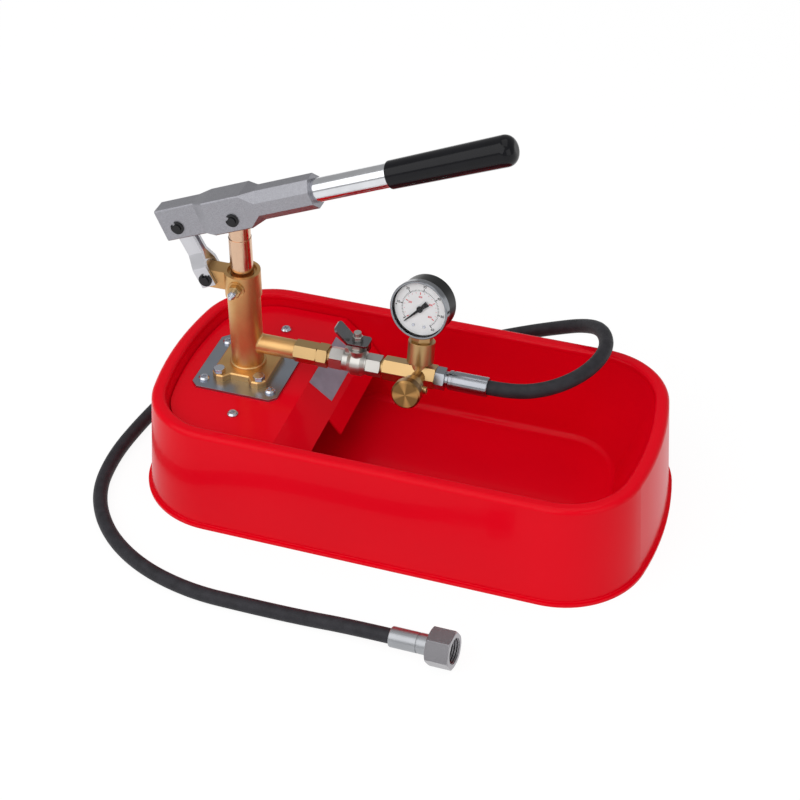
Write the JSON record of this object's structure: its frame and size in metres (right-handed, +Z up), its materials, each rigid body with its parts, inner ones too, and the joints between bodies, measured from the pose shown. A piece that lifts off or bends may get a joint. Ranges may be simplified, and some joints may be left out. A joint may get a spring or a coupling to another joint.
{
  "type": "hydrostatic test pump",
  "caption": "Hand lever pressure test pump on an oblong water tank, with a shut-off valve, a leaning pressure gauge, a drain valve and a rubber test hose with a union nut.",
  "frame": {"origin": "middle of the tank, on the floor that its foot lip stands on", "axes": "+X along the tank from the pump end to the open end, +Y to the back, +Z up"},
  "size_m": [0.4293, 0.3412, 0.3106],
  "materials": {
    "red_paint": "glossy red enamel",
    "zinc": "bright zinc plate",
    "brass": "turned and cast brass, satin",
    "nickel": "nickel plate, satin",
    "cast_aluminium": "cast, tumbled",
    "chromed_steel": "polished",
    "black_vinyl": "glossy dipped vinyl",
    "black_steel": "blackened",
    "black_enamel": "satin black enamel",
    "clear": "clear, polished",
    "white_enamel": "matte white",
    "needle_black": "matte",
    "grey_label": "plain satin film",
    "hose_rubber": "matte black rubber",
    "seal_rubber": "soft black rubber"
  },
  "bodies": {
    "pump": {"check_springs": "zinc", "cylinder_head": "brass", "deck_nuts": "zinc", "deck_posts": "red_paint", "deck_screws": "zinc", "delivery_ball": "nickel", "dial_screws": "zinc", "far_ferrule": "zinc", "foot_bolts": "zinc", "gauge_bezel": "chromed_steel", "gauge_case": "black_enamel", "gauge_dial": "white_enamel", "gauge_lens": "clear", "gauge_movement": "brass", "gauge_stem": "brass", "gland_seal": "seal_rubber", "grease_hex": "brass", "grease_nipple": "zinc", "hose_nipple": "zinc", "hose_tail": "zinc", "hose_tube": "hose_rubber", "lug_clips": "black_steel", "lug_pin": "black_steel", "mounting_plate": "zinc", "near_ferrule": "zinc", "outlet_adapter": "brass", "outlet_union": "brass", "packing_nut": "nickel", "plate_screws": "zinc", "pump_cylinder": "brass", "pump_deck": "red_paint", "pump_foot": "brass", "rating_label": "grey_label", "suction_ball": "nickel", "suction_strainer": "zinc", "suction_tube": "brass", "suction_valve": "brass", "tank_skirt": "red_paint", "tank_trough": "red_paint", "tee_block": "brass", "union_washer": "seal_rubber", "valve_body": "nickel"},
    "lever": {"lever_head": "cast_aluminium", "lever_tube": "chromed_steel", "lever_grip": "black_vinyl", "link_pin": "black_steel", "piston_pin": "black_steel", "lever_clips": "black_steel"},
    "link": {"link_strap_front": "zinc", "link_strap_rear": "zinc", "link_spacer": "zinc"},
    "piston": {"piston_rod": "brass"},
    "valve_handle": {"valve_lever": "nickel", "valve_lever_nut": "nickel", "valve_stem": "nickel", "valve_ball": "nickel"},
    "drain_knob": {"drain_knob": "brass", "drain_spindle": "nickel"},
    "gauge_needle": {"gauge_needle": "needle_black"},
    "union_nut": {"union_nut": "zinc"}
  },
  "joints": [
    {"name": "link_rock", "type": "hinge", "parent": "pump", "child": "link", "pos_m": [-0.1554, 0, 0.1563], "axis": [0, -1, 0], "range_deg": [-4.2, 7.6]},
    {"name": "lever_swing", "type": "hinge", "parent": "link", "child": "lever", "pos_m": [-0.17495, 0, 0.19697], "axis": [0, -1, 0], "range_deg": [-30, 16]},
    {"name": "piston_stroke", "type": "slide", "parent": "pump", "child": "piston", "axis": [0, 0, 1], "range_m": [-0.0214, 0.0116]},
    {"name": "valve_turn", "type": "hinge", "parent": "pump", "child": "valve_handle", "pos_m": [-0.0405, 0, 0.1005], "axis": [0, 0, 1], "range_deg": [0, 90]},
    {"name": "drain_turn", "type": "hinge", "parent": "pump", "child": "drain_knob", "pos_m": [0.00845, 0, 0.1005], "axis": [0, -0.9715, 0.2368], "range_deg": [0, 270]},
    {"name": "needle_turn", "type": "hinge", "parent": "pump", "child": "gauge_needle", "pos_m": [0.007, 0.01303, 0.15393], "axis": [0.1011, 0.9666, -0.2356], "range_deg": [0, 270]},
    {"name": "nut_spin", "type": "hinge", "parent": "pump", "child": "union_nut", "pos_m": [0.04286, -0.17603, 0.00952], "axis": [0.9918, -0.0868, 0.0941], "continuous": true}
  ],
  "couplings": [
    {"joint": "link_rock", "follows": "lever_swing", "ratio": -0.245},
    {"joint": "piston_stroke", "follows": "lever_swing", "m_per_rad": 0.0399}
  ]
}
